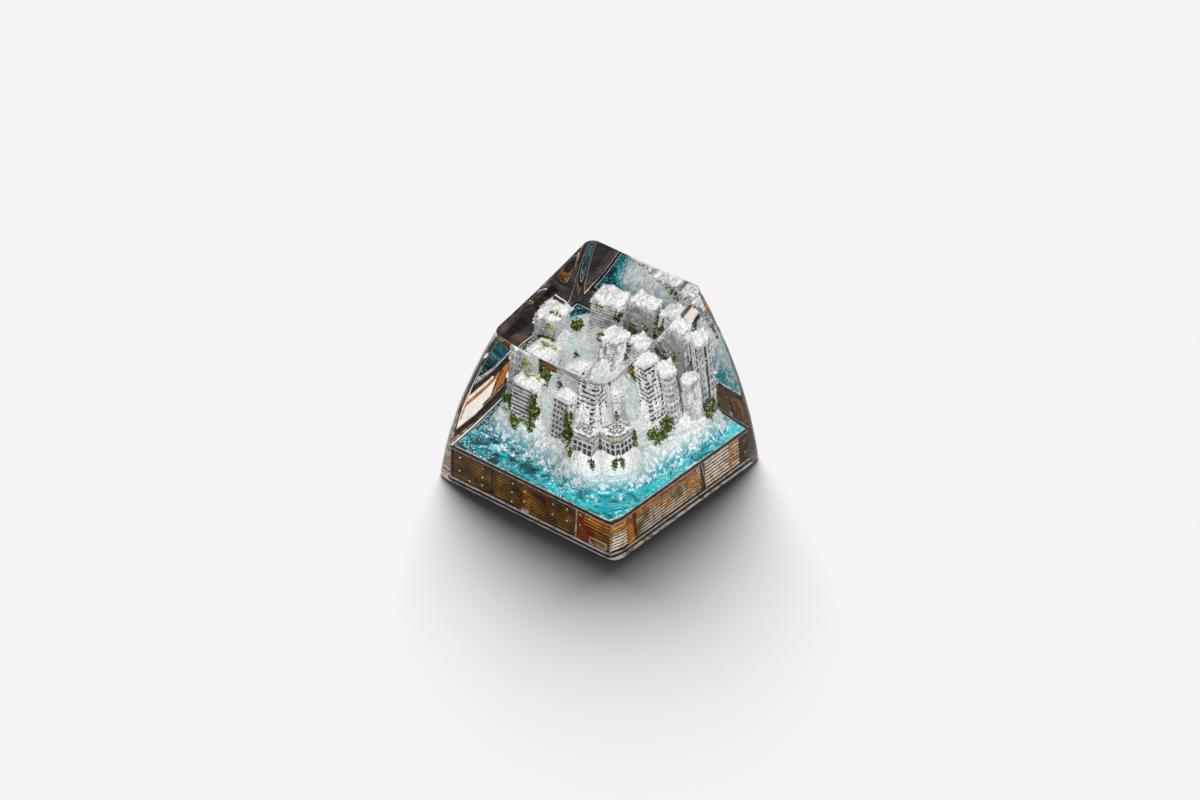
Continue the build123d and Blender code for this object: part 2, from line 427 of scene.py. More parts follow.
def snow_material(name, tint_top):
    """Powdery snow, stained turquoise by the sea below a level in millimetres."""
    stain, stain_depth = (0.015, 0.36, 0.43, 1.0), 1.7
    material, tree, shader, coordinates = new_material(name, 0.9, 0.1)
    grain = noise_value(tree, coordinates, 0.16, 5.0)
    white = ramp(tree, grain, (
        (0.34, 0.57, 0.59, 0.60), (0.50, 0.87, 0.87, 0.86), (0.66, 0.94, 0.93, 0.91),
    ))
    height = slope(tree, coordinates, "Z", tint_top - stain_depth, tint_top, 1.0, 0.0)
    streaks = noise_value(tree, coordinates, 0.5, 5.0, 1.0)
    streak = ramp(tree, streaks, ((0.42, 0, 0, 0), (0.54, 1, 1, 1)))
    wet = blend(tree, 1.0, streak, height, "MULTIPLY")
    fill(tree, shader, {"Base Color": blend(tree, wet, white, stain)})
    bump(tree, shader, grain, 0.9, 0.12)
    return material


# All materials by the names that pieces use; a mottled one has its stops, then the pitch, the roughness,
# the pitch of the fine noise and how far that darkens
LOOKS = {
    "resin": resin_material(),
    "sea": sea_material("open_sea", -0.01),
    "surf": sea_material("shore_surf", 0.10),
    "snow": snow_material("snow", 5.1),
    "roof": snow_material("roof_snow", 3.0),
    "brown": mottled("brown_plate", (
        (0.32, 0.022, 0.011, 0.003), (0.46, 0.085, 0.045, 0.009), (0.57, 0.16, 0.086, 0.016),
        (0.67, 0.42, 0.13, 0.008),
    ), 1.3, 0.6, 0.10, 0.55),
    "grey": mottled("grey_plate", (
        (0.34, 0.13, 0.08, 0.03), (0.46, 0.34, 0.26, 0.16), (0.56, 0.60, 0.53, 0.43),
        (0.66, 0.55, 0.20, 0.02),
    ), 1.2, 0.55, 0.10, 0.55),
    "silver": mottled("silver_plate", (
        (0.34, 0.30, 0.22, 0.15), (0.47, 0.70, 0.62, 0.50), (0.58, 0.88, 0.80, 0.68),
        (0.68, 0.60, 0.24, 0.03),
    ), 0.9, 0.45, 0.10, 0.55),
    "orange": mottled("orange_rust", (
        (0.30, 0.20, 0.055, 0.008), (0.48, 0.44, 0.15, 0.018), (0.62, 0.60, 0.23, 0.03),
        (0.75, 0.30, 0.20, 0.12),
    ), 0.8, 0.8, 0.10, 0.5),
    "red": mottled("dark_red_rust", (
        (0.32, 0.09, 0.012, 0.004), (0.52, 0.20, 0.035, 0.006), (0.70, 0.36, 0.09, 0.012),
    ), 0.8, 0.8, 0.10, 0.5),
    # Dark joints; also painted shade on the tray's recessed foot step and along the foot ring next to the
    # tray
    "seam": mottled("dark_seam_and_painted_shade", (
        (0.35, 0.010, 0.008, 0.007), (0.65, 0.05, 0.032, 0.02),
    ), 0.7, 0.7, 0.10, 0.4),
    "edge": mottled("worn_edge", (
        (0.32, 0.16, 0.14, 0.13), (0.5, 0.55, 0.54, 0.53), (0.68, 0.75, 0.74, 0.72),
    ), 0.5, 0.4, 0.10, 0.5, metallic=0.3),
    # Painted shade for the undersides of the corrugation ridges
    "ridge_shade": mottled("painted_ridge_shade", (
        (0.35, 0.008, 0.005, 0.003), (0.65, 0.040, 0.022, 0.008),
    ), 0.6, 0.8, 0.10, 0.4),
    "cream": mottled("flaking_cream", (
        (0.30, 0.60, 0.46, 0.30), (0.42, 0.84, 0.79, 0.70), (0.64, 0.90, 0.87, 0.80),
        (0.78, 0.52, 0.24, 0.07),
    ), 0.9, 0.6, 0.10, 0.2),
    "rivet": mottled("rivet_head", (
        (0.35, 0.45, 0.36, 0.26), (0.65, 0.85, 0.80, 0.72),
    ), 0.4, 0.35, 0.08, 0.35),
    # Pale foot ring: a painted highlight for the lit floor seen through the foot's edge
    "foot_highlight": mottled("foot_painted_highlight", (
        (0.36, 0.16, 0.10, 0.06), (0.47, 0.42, 0.37, 0.31), (0.60, 0.66, 0.62, 0.56),
        (0.72, 0.40, 0.20, 0.07),
    ), 0.7, 0.8, 0.12, 0.45),
    # Painted shade on the foot ring behind and on the left, for the shaded floor under the cap
    "foot_shade": mottled("foot_painted_shade", (
        (0.36, 0.035, 0.030, 0.028), (0.52, 0.075, 0.066, 0.060), (0.62, 0.15, 0.125, 0.10),
        (0.70, 0.26, 0.12, 0.03),
    ), 0.8, 0.8, 0.12, 0.4),
    "stem": mottled("stem_plastic", (
        (0.35, 0.70, 0.69, 0.66), (0.65, 0.80, 0.79, 0.76),
    ), 1.5, 0.4, 0.2, 0.08, 0.005, 0.5),
    "wall": mottled("pale_wall", (
        (0.32, 0.36, 0.37, 0.37), (0.48, 0.70, 0.70, 0.70), (0.66, 0.90, 0.90, 0.89),
    ), 0.5, 0.85, 0.10, 0.50, 0.03),
    "shade": mottled("grey_wall", (
        (0.30, 0.17, 0.175, 0.17), (0.52, 0.33, 0.335, 0.325), (0.72, 0.60, 0.60, 0.59),
    ), 0.5, 0.85, 0.09, 0.5, 0.03),
    "window": mottled("dark_window", (
        (0.35, 0.022, 0.024, 0.026), (0.60, 0.09, 0.093, 0.096), (0.75, 0.30, 0.31, 0.31),
    ), 0.5, 0.4, 0.09, 0.4),
    "leaf_dark": mottled("dark_moss", (
        (0.35, 0.006, 0.020, 0.002), (0.65, 0.028, 0.070, 0.006),
    ), 0.3, 0.9, 0.08, 0.5),
    "leaf": mottled("green_moss", (
        (0.35, 0.040, 0.095, 0.006), (0.65, 0.125, 0.235, 0.016),
    ), 0.3, 0.9, 0.08, 0.5),
    "leaf_pale": mottled("pale_moss", (
        (0.35, 0.24, 0.31, 0.03), (0.65, 0.46, 0.52, 0.09),
    ), 0.3, 0.9, 0.08, 0.4),
}


# Clear cap

CORNER_STEPS, WALL_STEPS = 10, 12
OUTLINE_COUNT = 4 * (CORNER_STEPS + WALL_STEPS)


def cap_section(share):
    """Half width, front, back, front height, back height and corner at a share of the cap's height."""
    belly = 4 * WALL_BULGE * share * (1 - share)
    half = CAP_SIDE / 2 * (1 - share) + TOP_WIDTH / 2 * share + belly
    front = -CAP_SIDE / 2 * (1 - share) + (TOP_SHIFT - TOP_DEPTH / 2) * share - belly
    back = CAP_SIDE / 2 * (1 - share) + (TOP_SHIFT + TOP_DEPTH / 2) * share + belly
    corner = FOOT_CORNER * (1 - share) + TOP_CORNER * share
    return half, front, back, share * FRONT_HEIGHT, share * BACK_HEIGHT, corner


def rounded_outline(half, front, back, corner):
    """Plan of a rounded rectangle, counter-clockwise from the front right corner."""
    points = []
    middles = (
        (half - corner, front + corner), (half - corner, back - corner),
        (corner - half, back - corner), (corner - half, front + corner),
    )
    for index, (x, y) in enumerate(middles):
        for step in range(CORNER_STEPS + 1):
            cos, sin = cos_sin(90 * (index - 1 + step / CORNER_STEPS))
            points.append((x + corner * cos, y + corner * sin))
        next_x, next_y = middles[(index + 1) % 4]
        cos, sin = cos_sin(90 * index)
        here, there = points[-1], (next_x + corner * cos, next_y + corner * sin)
        points += [between(here, there, step / WALL_STEPS) for step in range(1, WALL_STEPS)]
    return points


def cap_point(share, index, inset=0.0):
    """Point of the cap's wall at a share of its height, drawn in by an inset."""
    half, front, back, low, high, corner = cap_section(share)
    corner = max(0.05, corner - inset)
    x, y = rounded_outline(half - inset, front + inset, back - inset, corner)[index]
    return x, y, low + (high - low) * (y - front) / (back - front)


def base_outline(reach, corner):
    """Rounded outline so far outside the tray's faces, or inside them where it is less than zero."""
    left, front = BASE_LOW.x - reach, BASE_LOW.y - reach
    right, back = BASE_HIGH.x + reach, BASE_HIGH.y + reach
    x, y = (right + left) / 2, (front + back) / 2
    outline = rounded_outline((right - left) / 2, front - y, back - y, corner)
    return [(x + u, y + v) for u, v in outline]


def dish():
    """Height of the dished top over a place, from the sphere that hollows it."""
    half, front, back, low, high, _ = cap_section(1.0)
    tilt = math.atan2(high - low, back - front)
    reach = half ** 2 + ((back - front) / 2 / math.cos(tilt)) ** 2
    lift = math.sqrt(DISH_RADIUS ** 2 - reach)
    centre_y = (front + back) / 2 - math.sin(tilt) * lift
    centre_z = (low + high) / 2 + math.cos(tilt) * lift
    return lambda x, y: centre_z - math.sqrt(DISH_RADIUS ** 2 - x * x - (y - centre_y) ** 2)


def wall_ends(dish_height):
    """Share of the height at which each line of the wall meets the dish, by halving."""
    halvings = 30
    ends = []
    for index in range(OUTLINE_COUNT):
        low, high = 0.8, 1.05
        for _ in range(halvings):
            middle = (low + high) / 2
            x, y, z = cap_point(middle, index)
            if z > dish_height(x, y):
                high = middle
            else:
                low = middle
        ends.append(low)
    return ends


def clear_cap():
    """The cap's polished outside, and its underside, which runs hidden inside the tray and the post."""
    wall_levels, edge_levels, top_levels, low_share = 36, 6, 14, 0.008
    tray_wall, deck_middle, post_wall, post_roof = 1.0, 2.5, 2.4, 4.1
    hollow, crown = dish(), cad_bounds[1][2] / MM
    ends = wall_ends(hollow)

    def dish_height(x, y):
        return min(hollow(x, y), crown)

    edge_share = RIM_ROUND / ((FRONT_HEIGHT + BACK_HEIGHT) / 2)
    rings = [[cap_point(0.0, index, FOOT_BREAK) for index in range(OUTLINE_COUNT)]]
    for step in range(wall_levels + 1):
        share = step / wall_levels
        rings.append([
            cap_point(low_share + (end - edge_share - low_share) * share, index)
            for index, end in enumerate(ends)
        ])
    for step in range(1, edge_levels + 1):
        turn = math.pi / 2 * step / edge_levels
        ring = []
        for index, end in enumerate(ends):
            x, y, z = cap_point(end - edge_share, index, RIM_ROUND * (1 - math.cos(turn)))
            ring.append((x, y, z + (dish_height(x, y) - z) * math.sin(turn)))
        rings.append(ring)
    rim = rings[-1]
    middle_y = (rim[0][1] + rim[OUTLINE_COUNT // 2][1]) / 2
    for step in range(1, top_levels):
        ring = [between((0, middle_y), point, 1 - step / top_levels) for point in rim]
        rings.append([(x, y, dish_height(x, y)) for x, y in ring])
    form = Form()
    form.sweep(rings, closed=False)
    form.fan(OUTLINE_COUNT, (0, middle_y, dish_height(0, middle_y)))
    start = len(form.verts)
    plan = base_outline(-tray_wall, FOOT_CORNER)
    post = [on_circle(x, y, post_wall) for x, y in plan]
    form.sweep([
        at_level(post, post_roof), at_level(post, deck_middle),
        at_level(plan, deck_middle), at_level(plan, 0.0),
    ], closed=False)
    form.face(range(start, start + OUTLINE_COUNT))
    inner = start + 3 * OUTLINE_COUNT
    for index in range(OUTLINE_COUNT):
        after = (index + 1) % OUTLINE_COUNT
        form.face((inner + index, inner + after, after, index))
    form.piece("resin_cap", ["resin"], "clear_resin", ("clear_resin",), smooth=True)


def foot_ring_painted_light():
    """Matt ring from the cap's foot edge to the tray: pale as painted light, painted shade by the tray,
    behind and on the left.
    """
    inner, low, high, shadow_line_reach = 0.13, 0.01, 0.07, 0.22
    # Painted light: a pale highlight for the lit floor seen through the foot's edge, a shadow line by the
    # tray, shade behind and left
    foot_highlight, seam, foot_shade = range(3)
    edge = [cap_point(0.0, index, FOOT_BREAK) for index in range(OUTLINE_COUNT)]
    # The painted shadow line runs from this far outside the tray to under it, in the dark seam colour
    outside, inside = base_outline(shadow_line_reach, FOOT_CORNER / 2), base_outline(-inner, FOOT_CORNER / 2)
    form = Form()
    form.sweep([
        at_level(edge, low), at_level(edge, high), at_level(outside, high), at_level(inside, high),
        at_level(inside, low),
    ], [foot_highlight, foot_highlight, seam, foot_highlight, foot_highlight])
    # Painted shade behind and on the left, for the shaded floor under the cap's margin
    form.repaint(foot_shade, lambda x, y: y > BASE_HIGH.y - inner)
    form.repaint(foot_shade, lambda x, y: x < BASE_LOW.x + inner and y > 0)
    return form.piece("foot_ring_painted_light", ("foot_highlight", "seam", "foot_shade"), "clear_resin")


# Rusty tray

TRAY_MARKS = ("brown", "grey", "silver", "orange", "red", "seam", "edge", "rivet", "ridge_shade", "cream")
MARK = {name: index for index, name in enumerate(TRAY_MARKS)}
CORE_INSET = 0.14
SHEET_FACE = 0.10
RIDGE = 0.07
FOOT_STEP = 0.12
FOOT_STEP_TOP = 0.12
PLATE_LOW = 0.38
PLATE_HIGH = 2.82
RIM_WIDTH = 0.42
RECESS = 6.8
DECK_UNDER = 2.3
CREAM_BACK = 4.5


def tray_side(corner, along):
    """Places on one side of the tray: u along it, v inwards from its outer face, z up."""
    x, y = along
    return lambda u, v, z: (corner[0] + x * u - y * v, corner[1] + y * u + x * v, z)


def sheet(form, u, z, pitch, mark, face):
    """A corrugated sheet with ridges along the side, painted shade under each, closed behind."""
    rows = 2 * max(1, round((z[1] - z[0]) / pitch))
    profile = [(z[0], CORE_INSET)]
    for row in range(rows + 1):
        profile.append((z[0] + (z[1] - z[0]) * row / rows, face - (RIDGE if row % 2 else 0)))
    profile.append((z[1], CORE_INSET))
    count = len(profile)
    verts = [form.place(end, v, level) for end in u for level, v in profile]
    faces = [(index, count + index, count + index + 1, index + 1) for index in range(count - 1)]
    faces += [(count - 1, 2 * count - 1, count, 0), range(count), range(2 * count - 1, count - 1, -1)]
    start = len(form.marks)
    form.add(verts, faces, mark)
    # The face under each ridge gets painted shade
    for row in range(0, rows, 2):
        form.marks[start + 1 + row] = MARK["ridge_shade"]


def bar(form, foot, head, width, proud, mark):
    """An upright bar on a side, slanted from its foot to its head."""
    half = width / 2
    verts = []
    for u, level in ((foot, PLATE_LOW), (head, PLATE_HIGH)):
        for across, v in ((-half, proud), (half, proud), (half, CORE_INSET), (-half, CORE_INSET)):
            verts.append(form.place(u + across, v, level))
    form.add(verts, BOX_FACES, mark)


def rivet(form, u, z, radius):
    """A domed rivet head on a side."""
    spokes, rings, face, dome, mark = 8, 3, 0.06, 0.8, MARK["rivet"]
    start = len(form.verts)
    levels = []
    for ring in range(rings):
        turn = math.pi / 2 * ring / rings
        reach, v = radius * math.cos(turn), face - radius * math.sin(turn) * dome
        angles = [math.tau * spoke / spokes for spoke in range(spokes)]
        levels.append([form.place(u + reach * math.cos(a), v, z + reach * math.sin(a)) for a in angles])
    form.sweep(levels, mark, closed=False)
    form.fan(spokes, form.place(u, face - radius * dome, z), mark)
    form.face(reversed(range(start, start + spokes)), mark)


def panel_frame(form, u, z, width, proud, mark):
    """A raised outline round a panel on a side."""
    v = (proud, CORE_INSET)
    for low, high in ((z[0], z[0] + width), (z[1] - width, z[1])):
        form.box(u, v, (low, high), mark)
    for low, high in ((u[0], u[0] + width), (u[1] - width, u[1])):
        form.box((low, high), v, (z[0] + width, z[1] - width), mark)


def plates(form, length, sheets, patches, bars, rivets, radius):
    """Sheets of full height, patches on them, bars and rivets, along a side by shares of its length."""
    full = (PLATE_LOW, PLATE_HIGH)
    for low, high, mark, pitch in sheets:
        sheet(form, (low * length, high * length), full, pitch, MARK[mark], SHEET_FACE)
    for low, high, foot, head, pitch, lift in patches:
        face = SHEET_FACE - lift
        sheet(form, (low * length, high * length), (foot, head), pitch, MARK["orange"], face)
    for foot, head, width, proud, mark in bars:
        bar(form, foot * length, head * length, width, proud, MARK[mark])
    for share, height in rivets:
        rivet(form, share * length, PLATE_LOW + height * (PLATE_HIGH - PLATE_LOW), radius)


def front_plates(form, length):
    """Brown plates with upright seams, a framed panel and a small hatch."""
    pitch = 0.25
    sheets = (
        (0.003, 0.022, "seam", pitch), (0.030, 0.262, "brown", pitch), (0.275, 0.436, "brown", pitch),
        (0.446, 0.614, "brown", pitch), (0.626, 0.786, "brown", pitch), (0.798, 0.905, "red", pitch),
        (0.905, 0.997, "brown", pitch),
    )
    patches = ((0.84, 0.985, 1.75, PLATE_HIGH, pitch, 0.03),)
    bars = [(share, share, width, proud, mark) for share, width, proud, mark in (
        (0.026, 0.09, 0.02, "red"), (0.268, 0.15, 0.02, "seam"), (0.441, 0.09, 0.02, "red"),
        (0.620, 0.12, 0.02, "red"), (0.792, 0.12, 0.02, "edge"), (0.815, 0.46, 0.04, "red"),
    )]
    rivets = (
        (0.205, 0.80), (0.205, 0.47), (0.205, 0.17), (0.125, 0.10), (0.395, 0.80), (0.393, 0.47),
        (0.393, 0.12), (0.470, 0.72), (0.470, 0.35), (0.648, 0.78), (0.645, 0.38), (0.735, 0.85),
        (0.735, 0.42), (0.815, 0.88), (0.815, 0.50), (0.872, 0.88), (0.060, 0.80), (0.060, 0.30),
    )
    plates(form, length, sheets, patches, bars, rivets, 0.085)
    form.box((0.885 * length, 0.968 * length), (0.05, CORE_INSET), (0.45, 0.98), MARK["orange"])
    frames = (
        (0.450, 0.612, PLATE_LOW + 0.05, PLATE_HIGH - 0.1, 0.08, 0.03, "red"),
        (0.455, 0.50, PLATE_LOW - 0.05, PLATE_LOW + 0.18, 0.06, 0.0, "edge"),
        (0.875, 0.978, 0.42, 1.02, 0.08, 0.0, "edge"),
    )
    for low, high, foot, head, width, proud, mark in frames:
        panel_frame(form, (low * length, high * length), (foot, head), width, proud, MARK[mark])


def right_plates(form, length, silver="silver", grey="grey"):
    """Silver patch, orange strap, grey plate under a rusty band, coarse plate past a slanted seam."""
    sheets = (
        (0.003, 0.085, silver, 0.27), (0.158, 0.632, grey, 0.27), (0.668, 0.922, silver, 0.30),
        (0.934, 0.997, "brown", 0.27),
    )
    patches = (
        (0.01, 0.10, 1.9, PLATE_HIGH, 0.2, 0.03), (0.158, 0.60, 2.2, PLATE_HIGH, 0.2, 0.03),
        (0.52, 0.62, 0.9, 2.2, 0.16, 0.015), (0.845, 0.918, 0.9, PLATE_HIGH, 0.2, 0.015),
        (0.675, 0.90, PLATE_LOW, 0.8, 0.2, 0.015),
    )
    bars = (
        (0.115, 0.105, 0.75, 0.03, "orange"), (0.150, 0.138, 0.13, 0.05, "red"),
        (0.662, 0.632, 0.17, 0.02, "seam"), (0.672, 0.642, 0.07, 0.0, "edge"),
        (0.928, 0.928, 0.10, 0.02, "seam"),
    )
    rivets = [
        (0.075, 0.93), (0.115, 0.93), (0.115, 0.62), (0.12, 0.12), (0.14, 0.10), (0.575, 0.60),
        (0.56, 0.30), (0.89, 0.86), (0.89, 0.55), (0.965, 0.75), (0.965, 0.30),
    ]
    rivets += [(share / 100, 0.88) for share in range(19, 62, 7)]
    rivets += [(share / 100, 0.10) for share in range(70, 92, 5)]
    plates(form, length, sheets, patches, bars, rivets, 0.075)


def inset_ring(inset, level):
    """Ring round the tray, drawn in from its outer face."""
    low = (BASE_LOW.x + inset, BASE_LOW.y + inset)
    return rectangle_ring(low, (BASE_HIGH.x - inset, BASE_HIGH.y - inset), level)


def rusty_tray():
    """Body with deck and recess, a double rim, a foot rail, and plates, bars and rivets on each side."""
    top = BASE_HIGH.z
    seam, edge, brown = MARK["seam"], MARK["edge"], MARK["brown"]
    post_hole = STEM_RADIUS - 0.05
    low, high = (-RECESS, -RECESS), (RECESS, RECESS)
    profile = [
        (circle_ring(post_hole, DECK_UNDER), brown), (rectangle_ring(low, high, DECK_UNDER), brown),
        (rectangle_ring(low, high, 0.0), seam),
    ]
    # The recessed foot step and the ledge over it take the dark seam colour as painted shade at the tray's
    # foot
    profile += [(inset_ring(inset, level), mark) for inset, level, mark in (
        (FOOT_STEP, 0.0, seam), (FOOT_STEP, FOOT_STEP_TOP, seam), (0.02, FOOT_STEP_TOP, edge),
        (0.02, PLATE_LOW - 0.08, seam), (CORE_INSET, PLATE_LOW, brown), (CORE_INSET, PLATE_HIGH, seam),
        (0.03, PLATE_HIGH, edge), (0.0, top - 0.16, seam), (0.0, top - 0.04, seam), (0.03, top, seam),
        (0.09, top, seam), (0.12, top - 0.06, seam), (0.27, top - 0.06, edge), (0.29, top, edge),
        (0.35, top, seam), (RIM_WIDTH, top - 0.1, seam), (RIM_WIDTH, DECK_LEVEL, seam),
    )]
    profile.append((circle_ring(post_hole, DECK_LEVEL), seam))
    rings = [ring for ring, _ in reversed(profile)]
    marks = [mark for _, mark in profile]
    form = Form()
    form.sweep(rings, marks[-2::-1] + marks[-1:])
    form.repaint(MARK["cream"], lambda x, y: x < BASE_LOW.x + CORE_INSET + 0.01 and y < CREAM_BACK)
    width, depth = BASE_HIGH.x - BASE_LOW.x, BASE_HIGH.y - BASE_LOW.y
    form.place = tray_side((BASE_LOW.x, BASE_LOW.y), (1, 0))
    front_plates(form, width)
    form.place = tray_side((BASE_HIGH.x, BASE_LOW.y), (0, 1))
    right_plates(form, depth)
    form.place = tray_side((BASE_HIGH.x, BASE_HIGH.y), (-1, 0))
    front_plates(form, width)
    form.place = tray_side((BASE_LOW.x, BASE_HIGH.y), (0, -1))
    right_plates(form, depth, "orange", "cream")
    return form.piece("rusty_tray", TRAY_MARKS, "rusted_plate", ("rusted_base",))


# Island and sea

SHORE_STEPS = 320
ISLAND_MIDDLE = (-0.2, 0.6)


def shore_line():
    """Closed smooth curve through the shore's points, in millimetres."""
    points = [(TRAY_MIDDLE.x + x * TRAY_HALF.x, TRAY_MIDDLE.y + y * TRAY_HALF.y) for x, y in SHORE]
    count = len(points)
    line = []
    for step in range(SHORE_STEPS):
        place = step / SHORE_STEPS * count
        index = int(place)
        share = place - index
        before, here, after, beyond = (points[(index + shift) % count] for shift in (-1, 0, 1, 2))
        line.append(tuple(
            0.5 * (2 * h + (a - b) * share + (2 * b - 5 * h + 4 * a - y) * share ** 2
                   + (3 * h - b - 3 * a + y) * share ** 3)
            for b, h, a, y in zip(before, here, after, beyond)
        ))
    return line


def from_middle(point, share):
    """Place at a share of the way from the island's middle to a point of the shore, and its way inland."""
    away = math.hypot(point[0] - ISLAND_MIDDLE[0], point[1] - ISLAND_MIDDLE[1])
    return (*between(ISLAND_MIDDLE, point, share), (1 - share) * away)


def spread(points, turn):
    """Lowest and highest place of points across and along axes turned by an angle in degrees."""
    cos, sin = cos_sin(turn)
    across = [point.x * cos + point.y * sin for point in points]
    along = [point.y * cos - point.x * sin for point in points]
    return min(across), max(across), min(along), max(along)


def turned(middle, turn):
    """Places in a building's own axes."""
    cos, sin = cos_sin(turn)
    return lambda u, v, z: (middle[0] + u * cos - v * sin, middle[1] + u * sin + v * cos, z)


def node_plan(name):
    """Middle, width, depth, turn, lowest and highest level of a building, by its smallest rectangle."""
    low, high = box_mm(name)
    corners = [vert.co / MM for vert in NODES[name].data.vertices if vert.co.z / MM > high.z - 0.01]

    def area(turn):
        left, right, front, back = spread(corners, turn)
        return (right - left) * (back - front)

    turn = min((step / 2 for step in range(-90, 90)), key=area)
    left, right, front, back = spread(corners, turn)
    middle = turned((0, 0), turn)((left + right) / 2, (front + back) / 2, 0)[:2]
    return middle, right - left, back - front, turn, low.z, high.z


BUILDINGS = (
    "slab_block", "west_block", "grid_tower", "corner_block", "central_tower", "round_tower", "east_tower",
    "high_tower", "long_block", "rear_block", "grey_block",
)
PLANS = {name: node_plan(name) for name in BUILDINGS}
MOUND = PLANS["corner_block"][0]
MOUND_RADIUS = 3.3
MOUND_SLOPE = 36
MOUND_TOP = 5.6


def wall_distance(x, y):
    """Distance from the nearest building's wall, in plan."""
    nearest = 9.0
    for middle, width, depth, turn, _, _ in PLANS.values():
        cos, sin = cos_sin(turn)
        u = abs((x - middle[0]) * cos + (y - middle[1]) * sin) - width / 2
        v = abs((y - middle[1]) * cos - (x - middle[0]) * sin) - depth / 2
        nearest = min(nearest, math.hypot(max(u, 0), max(v, 0)))
    return nearest


def snow_height(x, y, inland):
    """Height of the snow at a place that lies so far inland from the shore."""
    beach, sunk, bank, bank_width = 1.5, 0.25, 0.3, 0.25
    rise = min(max(inland / beach, -0.2), 1.0)
    rise = rise * (2 - abs(rise)) if rise > 0 else rise * 2
    height = SEA_LEVEL - sunk + (SNOW_LEVEL + sunk - SEA_LEVEL) * rise
    reach = math.hypot(x - MOUND[0], y - MOUND[1])
    mound = DECK_LEVEL + (MOUND_RADIUS - reach) / math.tan(math.radians(MOUND_SLOPE))
    height = max(height, min(mound, MOUND_TOP))
    height += bank * math.exp(-wall_distance(x, y) / bank_width) * min(1.0, max(0.0, inland))
    lumps, crumbs = rough(x, y, 1.0, 0.9, 4), rough(x, y, 7.0, 0.32, 4)
    return height + 0.20 * lumps + 0.11 * crumbs


def island():
    """Snow over the island, thin towards the shore, hollow below where the post stands."""
    rings, overlap, floor = 84, 1.05, DECK_LEVEL - 0.08
    shore = shore_line()
    skin = []
    for ring in range(1, rings + 1):
        places = [from_middle(point, overlap * ring / rings) for point in shore]
        skin.append([(x, y, snow_height(x, y, inland)) for x, y, inland in places])
    hole = [on_circle(x, y, STEM_RADIUS - 0.1) for x, y, _ in skin[-1]]
    skin += [at_level(skin[-1], floor), at_level(hole, floor), at_level(hole, STEM_TOP - 0.1)]
    form = Form()
    form.sweep(skin[::-1], closed=False)
    form.face(range(SHORE_STEPS))
    form.fan(SHORE_STEPS, (*ISLAND_MIDDLE, snow_height(*ISLAND_MIDDLE, 5.0)))
    return form.piece("snow_island_drift", ["snow"], "snow", ("snow_island",), smooth=True)


def sea_height(x, y):
    """Choppy water: broad swell, short waves and ripples."""
    swell = 0.10 * rough(x, y, 3.0, 1.7, 3)
    chop = 0.26 * (0.3 - abs(rough(x, y, 11.0, 0.75, 4)))
    return SEA_LEVEL + swell + chop


def sea():
    """Water between the shore and the rim of the tray."""
    strips, under_shore, sunk, overlap, far = 44, 0.82, DECK_LEVEL - 0.05, 0.04, 99
    surf, surf_from, ragged = 1, 0.52, 0.35
    low = [value + RIM_WIDTH - overlap for value in BASE_LOW]
    high = [value - RIM_WIDTH + overlap for value in BASE_HIGH]
    pairs = []
    for point in shore_line():
        reach = far
        for axis in range(2):
            away = point[axis] - ISLAND_MIDDLE[axis]
            if abs(away) > 1e-6:
                reach = min(reach, ((high if away > 0 else low)[axis] - ISLAND_MIDDLE[axis]) / away)
        pairs.append((point, reach))
    rings = []
    for strip in range(strips + 1):
        ring = []
        for point, reach in pairs:
            share = reach + (under_shore - reach) * strip / strips
            x, y = between(ISLAND_MIDDLE, point, share)
            ring.append((x, y, sea_height(x, y)))
        rings.append(ring)
    rings += [at_level(rings[-1], sunk), at_level(rings[0], sunk)]
    form = Form()
    form.sweep(rings)
    for index, face in enumerate(form.faces):
        x, y, _ = form.verts[face[0]]
        shore = index // SHORE_STEPS / strips
        if shore + ragged * rough(x, y, 21.0, 1.3, 3) > surf_from:
            form.marks[index] = surf
    return form.piece("choppy_sea", ("sea", "surf"), "sea_resin", ("sea",), smooth=True)


# City

CITY_MARKS = ("wall", "shade", "window")
WALL, SHADE, WINDOW = range(3)


def facade(form, width, depth, z, storeys, columns, band, pier, marks):
    """Dark core with a band at each storey and upright piers, all standing out by the bed."""
    bed, gap = 0.08, 0.01
    wall_mark, core_mark = marks
    half_u, half_v = width / 2, depth / 2
    form.box((bed - half_u, half_u - bed), (bed - half_v, half_v - bed), z, core_mark)
    storey = (z[1] - z[0]) / storeys
    chance = random.Random(storeys)
    for number in range(storeys):
        level = z[0] + storey * (number + 1)
        left, right, front, back = (chance.choice((0.0, 0.0, 0.02, 0.05)) for _ in range(4))
        under = level - storey * band * chance.uniform(0.8, 1.15)
        u, v = (left - half_u, half_u - right), (front - half_v, half_v - back)
        form.box(u, v, (under, level), wall_mark, 0.012)
    if columns:
        half_pier, half_bed = pier / 2, bed / 2
        for sign in (-1, 1):
            for column in range(columns[0] + 1):
                u = (2 * column / columns[0] - 1) * (half_u - half_pier - gap)
                v = sign * (half_v - half_bed - gap)
                form.box((u - half_pier, u + half_pier), (v - half_bed, v + half_bed), z, wall_mark)
            for column in range(columns[1] + 1):
                v = (2 * column / columns[1] - 1) * (half_v - half_pier - gap)
                u = sign * (half_u - half_bed - gap)
                form.box((u - half_bed, u + half_bed), (v - half_pier, v + half_pier), z, wall_mark)


def parapet(form, width, depth, roof, mark):
    """Low wall round a roof."""
    half_u, half_v, thick = width / 2, depth / 2, 0.08
    z = (roof - 0.02, roof + 0.14)
    for sign in (-1, 1):
        v = sorted((sign * half_v, sign * (half_v - thick)))
        form.box((-half_u, half_u), v, z, mark)
        u = sorted((sign * half_u, sign * (half_u - thick)))
        form.box(u, (thick - half_v, half_v - thick), z, mark)


